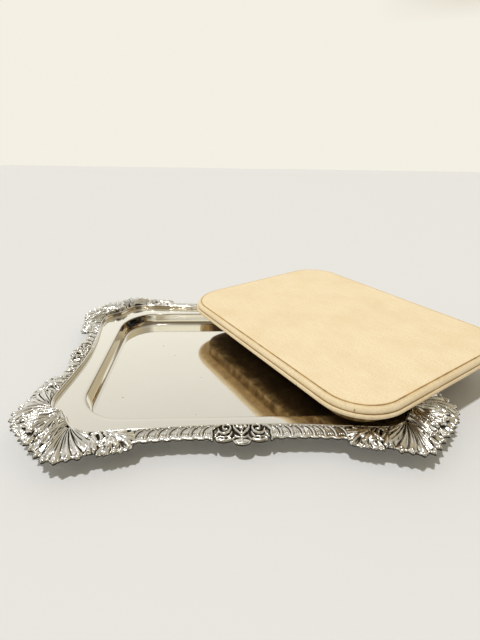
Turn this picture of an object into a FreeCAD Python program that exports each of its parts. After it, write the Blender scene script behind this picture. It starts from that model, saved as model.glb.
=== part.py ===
import FreeCAD, Part
import math
import os

# A silver-plated oblong tray with a sunk well, a cast gadroon, shell and leaf border,
# and the wooden bread board that fits the well.
# Millimetres, +Z up. The origin is the centre of the underside of the well, on the table.
# +X runs along the long side to the right and -Y is the front.

Vector = FreeCAD.Vector

# ---- driving dimensions of the tray ----
well_length = 305.0
well_width = 229.0
well_corner_radius = 42.0
well_taper = 3.6            # each wall leans in by this much from rim to floor
sheet = 1.3                 # thickness of the plate
rim_height = 16.0           # top of the flat rim above the table
flange_height = 17.5        # top of the flange that carries the border
flange_inset = 2.5          # the flange stops this far inside the border's outline
moulding_width = 2.2
moulding_height = 3.9
moulding_gap = 0.05         # solder line between the moulding and the castings
mount_base = 2.2            # thickness of the castings below their relief
border_half_length = 200.0  # the border's size, by which its outline is drawn in for the flange
border_half_width = 155.0
cusp_direction = (0.49, 0.93)

# ---- half lengths where one casting of the border meets the next ----
front_ornament_half = 26.5
front_strip_end = 91.0
side_ornament_half = 21.5
side_strip_end = 50.0

# ---- relief ----
gadroon_pitch = 9.2
gadroon_lean = 6.0
gadroon_crest = 4.5         # above the flange
gadroon_taper = 0.72        # outer end of a gadroon as a share of its inner end
front_gadroon_reach = (131.0, 149.5)
side_gadroon_reach = (172.0, 190.0)
leaf_crest = 6.0
leaf_lean = 3.0
leaf_root_share = 0.9
leaf_tip_share = 0.8
front_leaf_stations = (98.0, 108.0, 118.0)
front_leaf_reach = (139.0, 158.0)
side_leaf_stations = (57.0, 67.0)
side_leaf_reach = (181.0, 200.0)
corner_crest = 8.2
shell_crest = 4.8           # the bread board rests just above the shells
shell_rib_count = 5
shell_root_spread = 0.08    # spacing of the shell's ribs as a share of its half length
shell_tip_spread = 0.30
shell_root_share = 0.6
shell_tip_share = 0.75
shell_arch = 2.0            # each rib stops this much shorter than the one before it
shell_scroll_place = 0.72
front_shell_reach = (131.0, 152.0)
side_shell_reach = (173.0, 192.0)
relief_sink = 1.2           # ribs start this far below the top of their base
rib_dip = 0.6               # outer ends of the gadroons and leaves are this much lower
relief_room = 1.0           # height kept free above the tallest relief
fan_root = (158.0, 109.5)   # the corner's fronds spread from here
fan_first = 120.0           # directions of the first and last frond, in degrees
fan_last = -34.0
fan_count = 12
fan_start = 12.0
fan_end = 56.0
fan_fall = 2.6              # the fronds are this much lower at their tips
rib_overlap = 0.56          # rib radius as a share of the spacing

# ---- driving dimensions of the bread board ----
board_length = 308.6
board_width = 233.8
board_corner_radius = 42.0
bead_out = 5.6              # first bead: how far it stands out, and its height
bead_drop = 5.9
bead_side = 0.4             # straight part of the first bead's side
flange_out = 7.2            # second bead, the widest part of the board
flange_drop = 11.9
flange_round = 2.6
tenon_inset = 8.2           # the tenon's side is this far inside the top's outline
tenon_drop = 14.3

# ---- where the board lies, lifted out and set down askew on the border ----
board_centre = Vector(119.6, 32.9, 51.7)
board_turn = 30.46          # degrees about the vertical
board_tilt_across = -1.51   # its right-hand edge is a little high
board_tilt_along = -0.62

# One quarter of the line where the rim steps up to the border, from the middle of the
# long side to the middle of the short side. The corner has two lobes that meet in a cusp.
step_long_side = [(0.0, 128.6), (57.0, 130.4), (95.0, 133.0), (124.0, 135.2), (137.0, 134.8),
                  (147.0, 130.4), (153.5, 123.0), (160.0, 111.5)]
step_short_side = [(160.0, 111.5), (166.5, 107.8), (173.0, 103.4), (177.2, 97.0), (178.8, 88.0),
                   (177.6, 73.0), (174.6, 50.0), (171.6, 22.0), (170.6, 0.0)]

# The border's outline, in the same order, one list for each casting.
edge_front_ornament = [(0.0, 153.6), (7.0, 151.0), (15.5, 149.2), (26.5, 145.4)]
edge_front_strip = [(26.5, 145.4), (58.0, 146.4), (91.0, 149.4)]
edge_corner = [(91.0, 149.4), (94.0, 155.0), (112.0, 160.6), (130.0, 163.8), (149.0, 169.0),
               (160.0, 167.2), (178.0, 155.6), (196.0, 135.2), (211.4, 114.8), (211.2, 105.0),
               (205.4, 90.0), (202.6, 74.0), (196.0, 53.0), (189.0, 50.0)]
edge_side_strip = [(189.0, 50.0), (187.6, 36.0), (187.6, 21.5)]
edge_side_ornament = [(187.6, 21.5), (190.2, 13.0), (192.8, 5.0), (193.3, 0.0)]


def flip(points, sx, sy):
    return [(sx * x, sy * y) for x, y in points]


def closed_runs(runs):
    """All the runs of a closed outline, from the runs of one quarter of it.

    The quarter starts on the Y axis and ends on the X axis. A run that meets an axis is
    joined to its mirror image there."""
    first = runs[0]
    last = runs[-1]
    middle = runs[1:-1]
    right_side = last + flip(list(reversed(last)), 1, -1)[1:]
    back_side = flip(list(reversed(first)), -1, 1) + first[1:]
    half = [back_side] + middle + [right_side]
    half += [flip(list(reversed(run)), 1, -1) for run in reversed(middle)]
    other_half = [flip(run, -1, -1) for run in half]
    return half + other_half


def spline(points, z):
    curve = Part.BSplineCurve()
    curve.interpolate([Vector(x, y, z) for x, y in points])
    return curve.toShape()


def outset(points, start_direction, end_direction, distance):
    """Move each point outward along the normal of the run; the ends move as told."""
    moved = []
    last = len(points) - 1
    for i, (x, y) in enumerate(points):
        if i == 0:
            dx, dy = start_direction
        elif i == last:
            dx, dy = end_direction
        else:
            tx = points[i + 1][0] - points[i - 1][0]
            ty = points[i + 1][1] - points[i - 1][1]
            length = math.hypot(tx, ty)
            dx, dy = -ty / length, tx / length
        moved.append((x + dx * distance, y + dy * distance))
    return moved


def closed_wire(runs, z):
    return Part.Wire([spline(run, z) for run in closed_runs(runs)])


def step_wire(distance, z):
    """The closed line of the step, moved outward by the distance."""
    long_run = outset(step_long_side, (0, 1), cusp_direction, distance)
    short_run = outset(step_short_side, cusp_direction, (1, 0), distance)
    return closed_wire([long_run, short_run], z)


def edge_wire(distance, z):
    """The closed outline of the border, moved inward by the distance."""
    runs = []
    for run in (edge_front_ornament, edge_front_strip, edge_corner, edge_side_strip, edge_side_ornament):
        moved = []
        for x, y in run:
            reach = math.hypot(x / border_half_length, y / border_half_width)
            scale_x = 1 - distance / (border_half_length * reach)
            scale_y = 1 - distance / (border_half_width * reach)
            moved.append((x * scale_x, y * scale_y))
        runs.append(moved)
    return closed_wire(runs, z)


def rounded_rectangle(length, width, radius, z):
    hx = length / 2.0
    hy = width / 2.0
    edges = []
    corners = [(hx - radius, hy - radius, 0), (-hx + radius, hy - radius, 90),
               (-hx + radius, -hy + radius, 180), (hx - radius, -hy + radius, 270)]
    ends = []
    for cx, cy, start in corners:
        circle = Part.Circle(Vector(cx, cy, z), Vector(0, 0, 1), radius)
        arc = Part.Arc(circle, math.radians(start), math.radians(start + 90)).toShape()
        ends.append((arc.valueAt(arc.FirstParameter), arc.valueAt(arc.LastParameter), arc))
    for i, (_, arc_end, arc) in enumerate(ends):
        next_start = ends[(i + 1) % 4][0]
        edges.append(arc)
        edges.append(Part.LineSegment(arc_end, next_start).toShape())
    return Part.Wire(edges)


def prism(wire, height):
    return Part.Face(wire).extrude(Vector(0, 0, height))


def box(x0, x1, y0, y1, z0, z1):
    return Part.makeBox(x1 - x0, y1 - y0, z1 - z0, Vector(x0, y0, z0))


def tapered_well(length, width, radius, z_low, z_high):
    low = rounded_rectangle(length - 2 * well_taper, width - 2 * well_taper, radius - well_taper, z_low)
    high = rounded_rectangle(length, width, radius, z_high)
    return Part.makeLoft([low, high], True, True)


def make_tray_plate():
    outside = tapered_well(well_length + 2 * sheet, well_width + 2 * sheet,
                           well_corner_radius + sheet, 0.0, rim_height)
    inside = tapered_well(well_length, well_width, well_corner_radius, sheet, rim_height)
    rim = prism(step_wire(sheet, rim_height - sheet), sheet)
    flange = prism(edge_wire(flange_inset, flange_height - sheet), sheet)
    riser = prism(step_wire(sheet, rim_height - sheet), flange_height - rim_height + sheet)
    upper = flange.fuse(riser)
    upper = upper.cut(prism(step_wire(0.0, rim_height - sheet - 1), 10))
    plate = outside.fuse(rim).fuse(upper).cut(inside)
    return plate.removeSplitter()


def make_inner_moulding():
    body = prism(step_wire(moulding_width, flange_height), moulding_height)
    body = body.cut(prism(step_wire(0.0, flange_height - 1), moulding_height + 2))
    return body


def make_border_ring(height):
    z = flange_height
    ring = prism(edge_wire(0.0, z), height)
    return ring.cut(prism(step_wire(moulding_width + moulding_gap, z - 1), height + 2))


def rib(start, end, radius_start, radius_end, z_start, z_end):
    """A round tapered rib that lies along the relief from one point to another."""
    a = Vector(start[0], start[1], z_start)
    b = Vector(end[0], end[1], z_end)
    return Part.makeCone(radius_start, radius_end, (b - a).Length, a, b - a)


def strip_ribs(run_start, run_end, reach, along):
    """Leaning gadroons between two stations of a side. along is 'x' or 'y'."""
    inner, outer = reach
    count = int(round((run_end - run_start) / gadroon_pitch))
    pitch = (run_end - run_start) / count
    top = flange_height + mount_base - relief_sink
    crest = flange_height + gadroon_crest - top
    ribs = []
    for i in range(-1, count + 1):
        t = run_start + (i + 0.5) * pitch
        start = (t - gadroon_lean / 2, inner)
        end = (t + gadroon_lean / 2, outer)
        if along == "y":
            start = (start[1], start[0])
            end = (end[1], end[0])
        ribs.append(rib(start, end, crest, crest * gadroon_taper, top, top - rib_dip))
    return ribs


def corner_ribs():
    """Fronds that fan out from the cusp of the corner, and leaves along each side of it."""
    crest = flange_height + corner_crest
    step = (fan_last - fan_first) / (fan_count - 1)
    ribs = []
    for i in range(fan_count):
        angle = math.radians(fan_first + i * step)
        dx = math.cos(angle)
        dy = math.sin(angle)
        start_radius = fan_start * math.radians(abs(step)) * rib_overlap
        end_radius = fan_end * math.radians(abs(step)) * rib_overlap
        start = (fan_root[0] + dx * fan_start, fan_root[1] + dy * fan_start)
        end = (fan_root[0] + dx * fan_end, fan_root[1] + dy * fan_end)
        ribs.append(rib(start, end, start_radius, end_radius, crest - start_radius,
                        crest - fan_fall - end_radius))
    top = flange_height + mount_base - relief_sink
    leaf = flange_height + leaf_crest - top
    ends = []
    for x in front_leaf_stations:
        ends.append(((x + leaf_lean, front_leaf_reach[0]), (x - leaf_lean, front_leaf_reach[1])))
    for y in side_leaf_stations:
        ends.append(((side_leaf_reach[0], y + leaf_lean), (side_leaf_reach[1], y - leaf_lean)))
    for start, end in ends:
        ribs.append(rib(start, end, leaf * leaf_root_share, leaf * leaf_tip_share, top, top - rib_dip))
    return ribs


def ornament_ribs(reach, half, along):
    """A ribbed shell with a scroll boss at each end."""
    inner, outer = reach
    top = flange_height + mount_base - relief_sink
    crest = flange_height + shell_crest - top
    ribs = []
    for i in range(shell_rib_count):
        k = i - (shell_rib_count - 1) / 2.0
        start = (k * half * shell_root_spread, inner + shell_arch)
        end = (k * half * shell_tip_spread, outer - abs(k) * shell_arch)
        if along == "y":
            start = (start[1], start[0])
            end = (end[1], end[0])
        ribs.append(rib(start, end, crest * shell_root_share, crest * shell_tip_share, top, top))
    for side in (-1, 1):
        centre = (side * half * shell_scroll_place, (inner + outer) / 2.0)
        if along == "y":
            centre = (centre[1], centre[0])
        ribs.append(Part.makeSphere(crest, Vector(centre[0], centre[1], top)))
    return ribs


def raised(base, envelope, ribs):
    """A casting: its base with the ribs on it, kept inside the casting's own outline."""
    relief = ribs[0].multiFuse(ribs[1:]).common(envelope)
    return base.fuse(relief).removeSplitter()


def make_castings():
    base_ring = make_border_ring(mount_base)
    tall_ring = make_border_ring(corner_crest + relief_room)
    far = border_half_length + border_half_width
    near = border_half_length / 2.0

    def piece(x0, x1, y0, y1, ribs):
        zone = box(x0, x1, y0, y1, 0.0, far)
        return raised(base_ring.common(zone), tall_ring.common(zone), ribs)

    corner = piece(front_strip_end, far, side_strip_end, far, corner_ribs())
    long_strip = piece(front_ornament_half, front_strip_end, near, far,
                       strip_ribs(front_ornament_half, front_strip_end, front_gadroon_reach, "x"))
    short_strip = piece(near, far, side_ornament_half, side_strip_end,
                        strip_ribs(side_ornament_half, side_strip_end, side_gadroon_reach, "y"))
    long_ornament = piece(-front_ornament_half, front_ornament_half, near, far,
                          ornament_ribs(front_shell_reach, front_ornament_half, "x"))
    short_ornament = piece(near, far, -side_ornament_half, side_ornament_half,
                           ornament_ribs(side_shell_reach, side_ornament_half, "y"))

    def turned(shape, sx, sy):
        copy = shape.copy()
        if sx < 0:
            copy = copy.mirror(Vector(0, 0, 0), Vector(1, 0, 0))
        if sy < 0:
            copy = copy.mirror(Vector(0, 0, 0), Vector(0, 1, 0))
        return copy

    castings = {}
    for sx, side_name in ((1, "right"), (-1, "left")):
        for sy, end_name in ((1, "back"), (-1, "front")):
            castings["corner_mount_%s_%s" % (end_name, side_name)] = turned(corner, sx, sy)
            castings["gadroon_strip_%s_%s" % (end_name, side_name)] = turned(long_strip, sx, sy)
            castings["gadroon_strip_%s_%s" % (side_name, end_name)] = turned(short_strip, sx, sy)
    castings["shell_mount_back"] = long_ornament
    castings["shell_mount_front"] = turned(long_ornament, 1, -1)
    castings["shell_mount_right"] = short_ornament
    castings["shell_mount_left"] = turned(short_ornament, -1, 1)
    return castings


def make_bread_board():
    def outline(grow, z):
        return rounded_rectangle(board_width + 2 * grow, board_length + 2 * grow,
                                 board_corner_radius + grow, z)

    upper = prism(outline(bead_out, -bead_drop), bead_drop)
    top_edges = [e for e in upper.Edges if e.BoundBox.ZMin > -0.01]
    upper = upper.makeFillet(bead_drop - bead_side, top_edges)
    lower = prism(outline(flange_out, -flange_drop), flange_drop - bead_drop)
    round_edges = [e for e in lower.Edges if e.BoundBox.ZLength < 0.01]
    lower = lower.makeFillet(flange_round, round_edges)
    tenon = prism(outline(-tenon_inset, -flange_drop - tenon_drop), tenon_drop + 1)
    board = upper.fuse(lower).fuse(tenon).removeSplitter()
    board.rotate(Vector(0, 0, 0), Vector(0, 1, 0), board_tilt_across)
    board.rotate(Vector(0, 0, 0), Vector(1, 0, 0), board_tilt_along)
    board.rotate(Vector(0, 0, 0), Vector(0, 0, 1), board_turn)
    board.translate(board_centre)
    return board


def main():
    os.makedirs("parts", exist_ok=True)
    parts = {"tray_plate": make_tray_plate(),
             "inner_moulding": make_inner_moulding(),
             "bread_board": make_bread_board()}
    parts.update(make_castings())
    for name, shape in sorted(parts.items()):
        solids = shape.Solids
        if len(solids) == 1:
            shape = solids[0]
        shape.exportStep("parts/%s.step" % name)
        print(name, len(solids), shape.isValid(), round(shape.Volume / 1000.0, 2), "cm3",
              [round(v, 1) for v in (shape.BoundBox.XMin, shape.BoundBox.XMax, shape.BoundBox.YMin,
                                     shape.BoundBox.YMax, shape.BoundBox.ZMin, shape.BoundBox.ZMax)])


main()
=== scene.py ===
import math
import random

import bpy
import numpy as np
from mathutils import Matrix, Vector


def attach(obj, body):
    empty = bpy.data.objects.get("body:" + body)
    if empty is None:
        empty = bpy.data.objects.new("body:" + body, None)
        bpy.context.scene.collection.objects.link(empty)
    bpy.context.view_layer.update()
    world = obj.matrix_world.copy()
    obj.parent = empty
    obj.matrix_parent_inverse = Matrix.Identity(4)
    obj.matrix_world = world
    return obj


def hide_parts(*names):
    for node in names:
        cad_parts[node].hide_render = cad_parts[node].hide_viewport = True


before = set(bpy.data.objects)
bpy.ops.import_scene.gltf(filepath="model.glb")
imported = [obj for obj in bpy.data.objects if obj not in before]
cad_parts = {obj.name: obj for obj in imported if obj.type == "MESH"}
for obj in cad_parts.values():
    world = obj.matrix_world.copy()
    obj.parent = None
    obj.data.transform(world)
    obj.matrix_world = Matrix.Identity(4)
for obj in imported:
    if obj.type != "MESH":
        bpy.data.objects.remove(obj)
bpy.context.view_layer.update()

MM = 0.001                     # outlines and relief are worked out in millimetres

# ---- the tray, as in the CAD model ----
WELL_LENGTH = 305.0
WELL_WIDTH = 229.0
WELL_RADIUS = 42.0
WELL_TAPER = 3.6
SHEET = 1.3
RIM_Z = 16.0
FLANGE_Z = 17.5
MOULDING_TOP = 20.9
CASTING_BOTTOM = 17.3
CASTING_INSET = 2.2            # the castings start this far outside the step

STEP_LONG = [
    (0.0, 128.6), (57.0, 130.4), (95.0, 133.0), (124.0, 135.2), (137.0, 134.8), (147.0, 130.4),
    (153.5, 123.0), (160.0, 111.5)]
STEP_SHORT = [
    (160.0, 111.5), (166.5, 107.8), (173.0, 103.4), (177.2, 97.0), (178.8, 88.0), (177.6, 73.0),
    (174.6, 50.0), (171.6, 22.0), (170.6, 0.0)]
FLANGE_EDGE = [
    (0.0, 148.0), (26.5, 142.6), (58.0, 143.4), (88.0, 146.2), (97.0, 152.4), (112.0, 157.6),
    (130.0, 160.8), (149.0, 165.6), (160.0, 163.6), (177.0, 152.6), (194.0, 133.6),
    (207.4, 114.0), (207.4, 105.0), (202.2, 90.0), (199.4, 74.0), (193.6, 54.0), (186.0, 46.0),
    (184.8, 36.0), (184.8, 21.5), (188.6, 6.0), (189.4, 0.0)]
ORNAMENT_HALF = 26.5           # where one casting meets the next, along the long and short sides
STRIP_END = 91.0
SIDE_ORNAMENT_HALF = 21.5
SIDE_STRIP_END = 50.0


# ---------------- curves and meshes

def smooth_run(points, spacing, flat_start=None, flat_end=None):
    """Points about spacing apart on a smooth curve of cubic spans through the given points.

    flat_start and flat_end are (sx, sy): the mirror image that the run continues into."""
    p = np.array(points, float)
    before = p[1] * flat_start if flat_start else 2 * p[0] - p[1]
    after = p[-2] * flat_end if flat_end else 2 * p[-1] - p[-2]
    q = np.vstack([before, p, after])
    length = np.linalg.norm(np.diff(q, axis=0), axis=1)
    tangent = []
    for i in range(1, len(q) - 1):
        a = (q[i] - q[i - 1]) / length[i - 1]
        b = (q[i + 1] - q[i]) / length[i]
        tangent.append((a * length[i] + b * length[i - 1]) / (length[i - 1] + length[i]))
    out = []
    for i in range(len(p) - 1):
        span = length[i + 1]
        n = max(2, int(round(span / spacing)))
        t = np.arange(n)[:, None] / n
        h00 = 2 * t ** 3 - 3 * t ** 2 + 1
        h10 = t ** 3 - 2 * t ** 2 + t
        h01 = -2 * t ** 3 + 3 * t ** 2
        h11 = t ** 3 - t ** 2
        out.append(h00 * p[i] + h10 * span * tangent[i]
                   + h01 * p[i + 1] + h11 * span * tangent[i + 1])
    return np.vstack(out + [p[-1:]])


def distances(line):
    """How far along a polyline each of its points lies."""
    return np.concatenate([[0], np.cumsum(np.linalg.norm(np.diff(line, axis=0), axis=1))])


def at_shares(line, shares):
    """Points of a polyline at the given shares of its length."""
    length = distances(line)
    return np.stack([np.interp(shares * length[-1], length, line[:, k]) for k in range(2)], axis=1)


def outward(line, distance):
    """A run from the Y axis towards the X axis, moved outward along its normals."""
    t = np.gradient(line, axis=0)
    t /= np.linalg.norm(t, axis=1)[:, None]
    return line + distance * np.stack([-t[:, 1], t[:, 0]], axis=1)


def full_loop(quarter):
    """A closed outline from its quarter between the Y axis and the X axis, clockwise."""
    first = quarter[:-1]
    second = quarter[::-1][:-1] * (1, -1)
    half = np.vstack([first, second])
    return np.vstack([half, -half])


def rays(quarter, angles):
    """Where rays from the centre at the given angles meet a quarter outline."""
    a = np.arctan2(quarter[:, 1], quarter[:, 0])[::-1]
    r = np.hypot(quarter[:, 0], quarter[:, 1])[::-1]
    radius = np.interp(angles, a, r)
    return np.stack([radius * np.cos(angles), radius * np.sin(angles)], axis=1)


def corner_arc(half_x, half_y, radius, count):
    """The round corner of a rectangle, clockwise, in count points."""
    turn = np.linspace(math.pi / 2, 0, count)
    return np.stack([half_x - radius + radius * np.cos(turn),
                     half_y - radius + radius * np.sin(turn)], axis=1)


def rounded_quarter(half_x, half_y, radius):
    """A quarter of a rounded rectangle, from the Y axis to the X axis, in steps of about 0.5 mm."""
    arc_points = 140
    long_side_points = 220
    short_side_points = 150
    corner = corner_arc(half_x, half_y, radius, arc_points)
    top = np.linspace((0.0, half_y), corner[0], long_side_points, endpoint=False)
    side = np.linspace(corner[-1], (half_x, 0.0), short_side_points)[1:]
    return np.vstack([top, corner, side])


def enclosed_volume(vertices, faces):
    """Positive when the faces of a closed skin look outward."""
    quads = np.array([f for f in faces if len(f) == 4])
    total = 0.0
    if len(quads):
        p, q, r, t = (vertices[quads[:, k]] for k in range(4))
        total += np.sum(np.cross(q, r) * p) + np.sum(np.cross(r, t) * p)
    for face in (f for f in faces if len(f) > 4):
        p = vertices[list(face)]
        total += np.sum(np.cross(p[1:-1], p[2:]) @ p[0])
    return total


def new_object(name, vertices, faces, attributes=None, sharp_angle=None):
    """A smoothly shaded object from millimetre points, with a value per point for each attribute."""
    vertices = np.asarray(vertices, float)
    if enclosed_volume(vertices, faces) < 0:
        faces = [tuple(reversed(f)) for f in faces]
    mesh = bpy.data.meshes.new(name)
    mesh.from_pydata((vertices * MM).tolist(), [], faces)
    mesh.polygons.foreach_set("use_smooth", [True] * len(mesh.polygons))
    for key, values in (attributes or {}).items():
        layer = mesh.attributes.new(key, "FLOAT", "POINT")
        layer.data.foreach_set("value", np.asarray(values, np.float32))
    if sharp_angle:
        mesh.set_sharp_from_angle(angle=math.radians(sharp_angle))
    mesh.validate()
    mesh.update()
    obj = bpy.data.objects.new(name, mesh)
    bpy.context.scene.collection.objects.link(obj)
    return obj


def lofted(loops):
    """Vertices and faces of a skin through closed loops of equal length, with flat caps."""
    n = len(loops[0])
    vertices = np.vstack(loops)
    faces = []
    for k in range(len(loops) - 1):
        a = k * n
        b = a + n
        faces += [(a + i, b + i, b + (i + 1) % n, a + (i + 1) % n) for i in range(n)]
    faces.append(list(range(n)))
    faces.append([(len(loops) - 1) * n + i for i in reversed(range(n))])
    return vertices, faces


def at_height(loop, z):
    return np.column_stack([loop, np.full(len(loop), float(z))])


# ---------------- the plate

STEP_SPACING = 1.2
FLANGE_SPACING = 2.0

step_quarter = np.vstack([smooth_run(STEP_LONG, STEP_SPACING, flat_start=(-1, 1))[:-1],
                          smooth_run(STEP_SHORT, STEP_SPACING, flat_end=(1, -1))])
flange_quarter = smooth_run(FLANGE_EDGE, FLANGE_SPACING, flat_start=(-1, 1), flat_end=(1, -1))
ray_angles = np.arctan2(step_quarter[:, 1], step_quarter[:, 0])


def well_loop(offset, z):
    """The well's outline at the rim, moved outward by offset."""
    half_length = WELL_LENGTH / 2 + offset
    half_width = WELL_WIDTH / 2 + offset
    quarter = rounded_quarter(half_length, half_width, WELL_RADIUS + offset)
    return at_height(full_loop(rays(quarter, ray_angles)), z)


def step_loop(offset, z):
    return at_height(full_loop(rays(outward(step_quarter, offset), ray_angles)), z)


def flange_loop(offset, z):
    return at_height(full_loop(rays(outward(flange_quarter, offset), ray_angles)), z)


def wall_offset(z):
    """How far outside its outline at the rim the well's wall is at a height."""
    return -WELL_TAPER * (RIM_Z - z) / (RIM_Z - SHEET)


def make_plate():
    """The plate's skin, in loops from the middle of the well over the top and back underneath.

    The stain values are high in the folds at the well's floor and the step's foot, which are partly
    stain and partly painted dark reflection, and on the rolled lip and the step wall, which are
    painted dark reflection."""
    floor_round = 1.5
    lip_round = 1.1
    step_round = 0.3
    middle = -30.0                 # first and last loop, well inside the flat floor
    edge = -2.5                    # the flange stops this far inside its outline
    casting_seat = FLANGE_Z - 0.3
    flange_under = FLANGE_Z - SHEET
    rim_under = RIM_Z - SHEET
    foot = wall_offset(SHEET)
    loops = []
    fold_stains_and_painted_reflections = []

    def add(loop, fold_stain_and_painted_reflection=0.0):
        loops.append(loop)
        fold_stains_and_painted_reflections.append(np.full(len(loop), fold_stain_and_painted_reflection))

    add(well_loop(middle, SHEET))
    add(well_loop(foot - floor_round - 1.0, SHEET))
    # darker along the floor fold: stain, and painted dark reflection
    for k, fold_stain_and_painted_reflection in enumerate((0.15, 0.35, 0.6, 0.9, 1.0, 0.8, 0.4)):
        turn = math.radians(15 * k)
        offset = foot - floor_round + floor_round * math.sin(turn)
        add(well_loop(offset, SHEET + floor_round * (1 - math.cos(turn))), fold_stain_and_painted_reflection)
    for z in (3.6, 7.0, 11.0, 13.6):
        add(well_loop(wall_offset(z), z))
    # painted dark reflection along the well's rolled lip
    for k, fold_stain_and_painted_reflection in enumerate((0.35, 0.6, 0.8, 0.9, 0.85, 0.6, 0.25)):
        turn = math.radians(15 * k)
        offset = wall_offset(RIM_Z - lip_round) + lip_round * (1 - math.cos(turn))
        add(well_loop(offset, RIM_Z - lip_round + lip_round * math.sin(turn)), fold_stain_and_painted_reflection)
    add(well_loop(5.0, RIM_Z))
    add(step_loop(-3.0, RIM_Z))
    add(step_loop(-1.1, RIM_Z))
    # darker at the step's foot: stain, and painted dark reflection
    for k, fold_stain_and_painted_reflection in enumerate((0.6, 0.9, 1.0, 0.9, 0.7)):
        turn = math.radians(22.5 * k)
        offset = -step_round + step_round * math.sin(turn)
        add(step_loop(offset, RIM_Z + step_round * (1 - math.cos(turn))), fold_stain_and_painted_reflection)
    # painted dark reflection up the step wall
    for offset, z, fold_stain_and_painted_reflection in ((0.1, 17.0, 0.35), (0.25, 18.4, 0.3), (0.5, 19.9, 0.6),
                              (0.8, 20.2, 0.9), (1.4, 20.2, 0.9)):
        add(step_loop(offset, z), fold_stain_and_painted_reflection)
    add(step_loop(1.6, casting_seat))
    add(flange_loop(edge, casting_seat))
    add(flange_loop(edge, flange_under))
    add(step_loop(1.5, flange_under))
    add(step_loop(0.9, rim_under + 0.4))
    add(step_loop(0.0, rim_under))
    add(well_loop(SHEET + 1.0, rim_under))
    for z in (rim_under - 1.0, 8.0, 2.5):
        add(well_loop(wall_offset(z) + SHEET, z))
    add(well_loop(wall_offset(1.0) + SHEET - 0.4, 0.8))
    add(well_loop(foot + SHEET - 2.4, 0.0))
    add(well_loop(middle, 0.0))
    vertices, faces = lofted(loops)
    attributes = {"fold_stain_and_painted_reflection": np.concatenate(fold_stains_and_painted_reflections)}
    return new_object("polished_plate", vertices, faces, attributes, sharp_angle=50)


def make_moulding():
    """The thin bead along the top of the step, a closed ring."""
    radius = 0.8
    sides = 16
    centre_offset = 1.3
    centre_z = MOULDING_TOP - radius
    loops = []
    for k in range(sides):
        turn = 2 * math.pi * k / sides
        offset = centre_offset - radius * math.cos(turn)
        loops.append(step_loop(offset, centre_z + radius * math.sin(turn)))
    n = len(loops[0])
    faces = []
    for k in range(sides):
        a = k * n
        b = ((k + 1) % sides) * n
        faces += [(a + i, a + (i + 1) % n, b + (i + 1) % n, b + i) for i in range(n)]
    return new_object("step_bead", np.vstack(loops), faces)


# ---------------- relief of the castings

NOTHING = -1000.0              # the height where no shape covers a plan point
FAR_AWAY = 1e9
SPINE_POINTS = 15
TUBE_SPACING = 0.7
GROOVE_FADE = 0.6              # share of its depth that a groove loses towards the tip
CURL_START = 0.7               # share of a lobe's length where its tip starts to curl
WIDEST_SPREAD = 11.0
LOBE_ROOT = 0.07               # share of the way to its tip where a lobe starts
RIB_ROOT = 0.12                # shares where a rib between two lobes starts and ends
RIB_TIP = 0.74


def eased(share, values):
    """From the first value to the last one, pulled towards the middle one on the way."""
    return (1 - share) ** 2 * values[0] + 2 * share * (1 - share) * values[1] + share ** 2 * values[2]


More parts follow.
